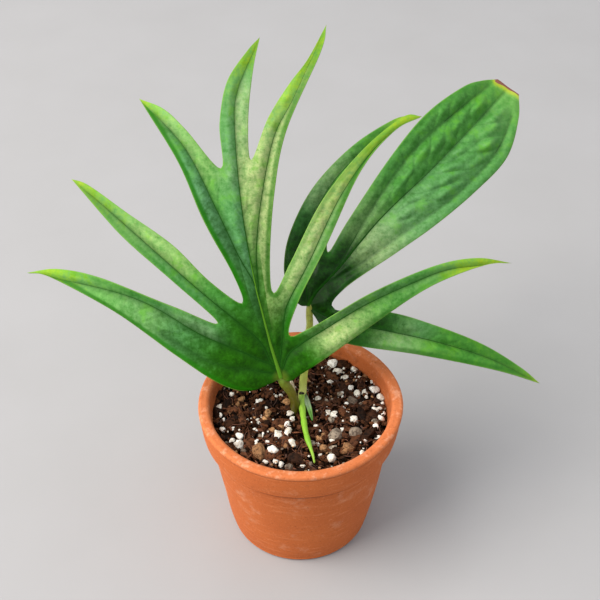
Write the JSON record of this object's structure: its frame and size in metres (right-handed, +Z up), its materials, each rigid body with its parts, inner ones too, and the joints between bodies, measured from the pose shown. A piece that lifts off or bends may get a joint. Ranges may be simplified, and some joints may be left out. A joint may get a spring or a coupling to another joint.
{
  "type": "potted anthurium",
  "caption": "Young potted anthurium with deeply lobed leaves on short stalks, rooted in potting mix in a small terracotta pot with a rim band and a drain hole.",
  "frame": {"origin": "middle of the whole object's footprint, on the surface that the pot stands on; the pot's axis is 4.8 mm to the right of it and 28.5 mm in front of it", "axes": "+Z up along the pot's axis, +X to the right as the picture looks at the plant, +Y away from the picture's camera; the leaves lean back towards +Y"},
  "size_m": [0.204, 0.137, 0.1826],
  "materials": {
    "terracotta": "matte",
    "potting_mix": "matte",
    "crown_bark": "matte",
    "leaf_stalk": "satin",
    "green_root": "satin",
    "dry_sheath": "matte",
    "leaf_blade": "satin"
  },
  "bodies": {
    "root": {"pot": "terracotta", "soil": "potting_mix", "crown": "crown_bark", "petiole_front": "leaf_stalk", "petiole_rear": "leaf_stalk", "bud": "leaf_stalk", "aerial_root": "green_root", "sheath": "dry_sheath", "leaf_front": "leaf_blade", "leaf_rear": "leaf_blade"}
  },
  "joints": []
}
